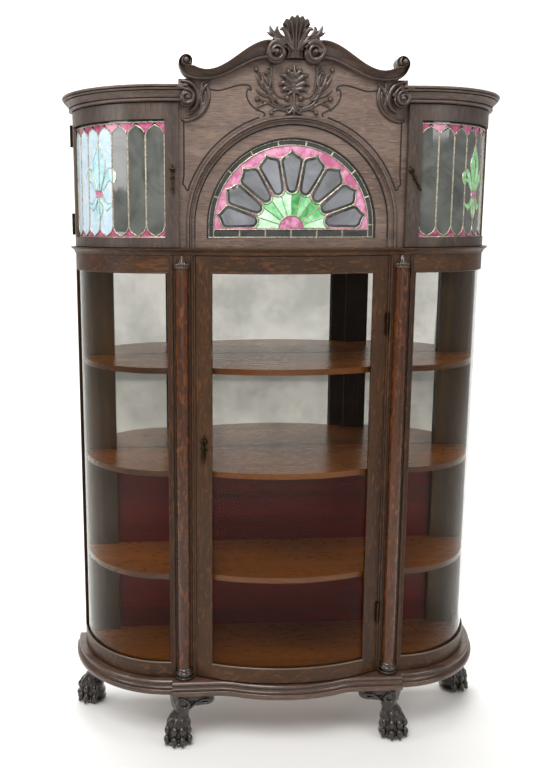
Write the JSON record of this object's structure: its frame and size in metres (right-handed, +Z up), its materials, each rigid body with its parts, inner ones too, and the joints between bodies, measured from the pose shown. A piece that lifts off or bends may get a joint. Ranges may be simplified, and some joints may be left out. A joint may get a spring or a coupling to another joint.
{
  "type": "china cabinet",
  "caption": "Tall bow-front oak china cabinet: bent glass sides, glazed middle door, shelves, mirror back, leaded upper doors and lunette, swan-neck pediment and paw feet.",
  "frame": {"origin": "on the floor, below the centre of the outer box", "axes": "+Z up, +X to the right of someone facing the cabinet, -Y out of the front"},
  "size_m": [1.242, 0.3789, 1.98],
  "materials": {
    "dark_oak": "quarter-sawn oak, dark brown, rubbed satin varnish",
    "carved_oak": "carved oak, black-brown, glossy varnish",
    "shelf_oak": "golden-brown oak, satin varnish",
    "back_wood": "red-brown stained boards, thin satin finish",
    "clear_glass": "clear bent glass",
    "leaded_glass": "small coloured panes in lead cames",
    "mirror": "old silvered mirror plate",
    "brass": "aged dark brass"
  },
  "bodies": {
    "case": {"arch_moulding": "dark_oak", "back_boards": "back_wood", "base_moulding": "dark_oak", "case_floor": "shelf_oak", "crest": "carved_oak", "fixed_hinge_leaves": "brass", "frieze_carvings": "carved_oak", "frieze_panel": "dark_oak", "head_rail": "dark_oak", "left_capital": "carved_oak", "left_column": "dark_oak", "left_cornice": "dark_oak", "left_front_foot": "carved_oak", "left_front_post": "dark_oak", "left_lower_rail": "dark_oak", "left_pediment_arm": "carved_oak", "left_rear_foot": "carved_oak", "left_rear_post": "dark_oak", "left_side_glass": "clear_glass", "left_upper_rail": "dark_oak", "lower_shelf": "shelf_oak", "lunette_frame": "dark_oak", "lunette_glass": "leaded_glass", "middle_shelf": "shelf_oak", "mirror": "mirror", "right_capital": "carved_oak", "right_column": "dark_oak", "right_cornice": "dark_oak", "right_front_foot": "carved_oak", "right_front_post": "dark_oak", "right_lower_rail": "dark_oak", "right_pediment_arm": "carved_oak", "right_rear_foot": "carved_oak", "right_rear_post": "dark_oak", "right_side_glass": "clear_glass", "right_upper_rail": "dark_oak", "shelf_pins": "brass", "top_board": "back_wood", "upper_back": "back_wood", "upper_shelf": "shelf_oak", "waist_deck": "back_wood", "waist_moulding": "dark_oak"},
    "main_door": {"door_left_stile": "dark_oak", "door_right_stile": "dark_oak", "door_bottom_rail": "dark_oak", "door_top_rail": "dark_oak", "door_glass": "clear_glass", "door_hinge_leaves": "brass", "door_escutcheon": "brass"},
    "door_drop": {"door_pull": "brass"},
    "left_upper_door": {"left_upper_frame": "dark_oak", "left_upper_glass": "leaded_glass", "left_upper_hinge_leaves": "brass", "left_upper_escutcheon": "brass"},
    "left_upper_drop": {"left_upper_pull": "brass"},
    "right_upper_door": {"right_upper_frame": "dark_oak", "right_upper_glass": "leaded_glass", "right_upper_hinge_leaves": "brass", "right_upper_escutcheon": "brass"},
    "right_upper_drop": {"right_upper_pull": "brass"}
  },
  "joints": [
    {"name": "main_door_hinge", "type": "hinge", "parent": "case", "child": "main_door", "pos_m": [0.25625, -0.117, 0.7915], "axis": [0, 0, 1], "range_deg": [0, 110]},
    {"name": "left_upper_door_hinge", "type": "hinge", "parent": "case", "child": "left_upper_door", "pos_m": [-0.5945, 0.1535, 1.5865], "axis": [0, 0, -1], "range_deg": [0, 100]},
    {"name": "right_upper_door_hinge", "type": "hinge", "parent": "case", "child": "right_upper_door", "pos_m": [0.5945, 0.1535, 1.5865], "axis": [0, 0, 1], "range_deg": [0, 100]},
    {"name": "door_drop_swing", "type": "hinge", "parent": "main_door", "child": "door_drop", "pos_m": [-0.2389, -0.12891, 0.8918], "axis": [-0.9142, 0.4053, 0], "range_deg": [0, 75]},
    {"name": "left_upper_drop_swing", "type": "hinge", "parent": "left_upper_door", "child": "left_upper_drop", "pos_m": [-0.314, -0.1195, 1.60412], "axis": [-1, 0, 0], "range_deg": [0, 75]},
    {"name": "right_upper_drop_swing", "type": "hinge", "parent": "right_upper_door", "child": "right_upper_drop", "pos_m": [0.30737, -0.1195, 1.60259], "axis": [-0.8988, 0, -0.4384], "range_deg": [0, 75]}
  ]
}
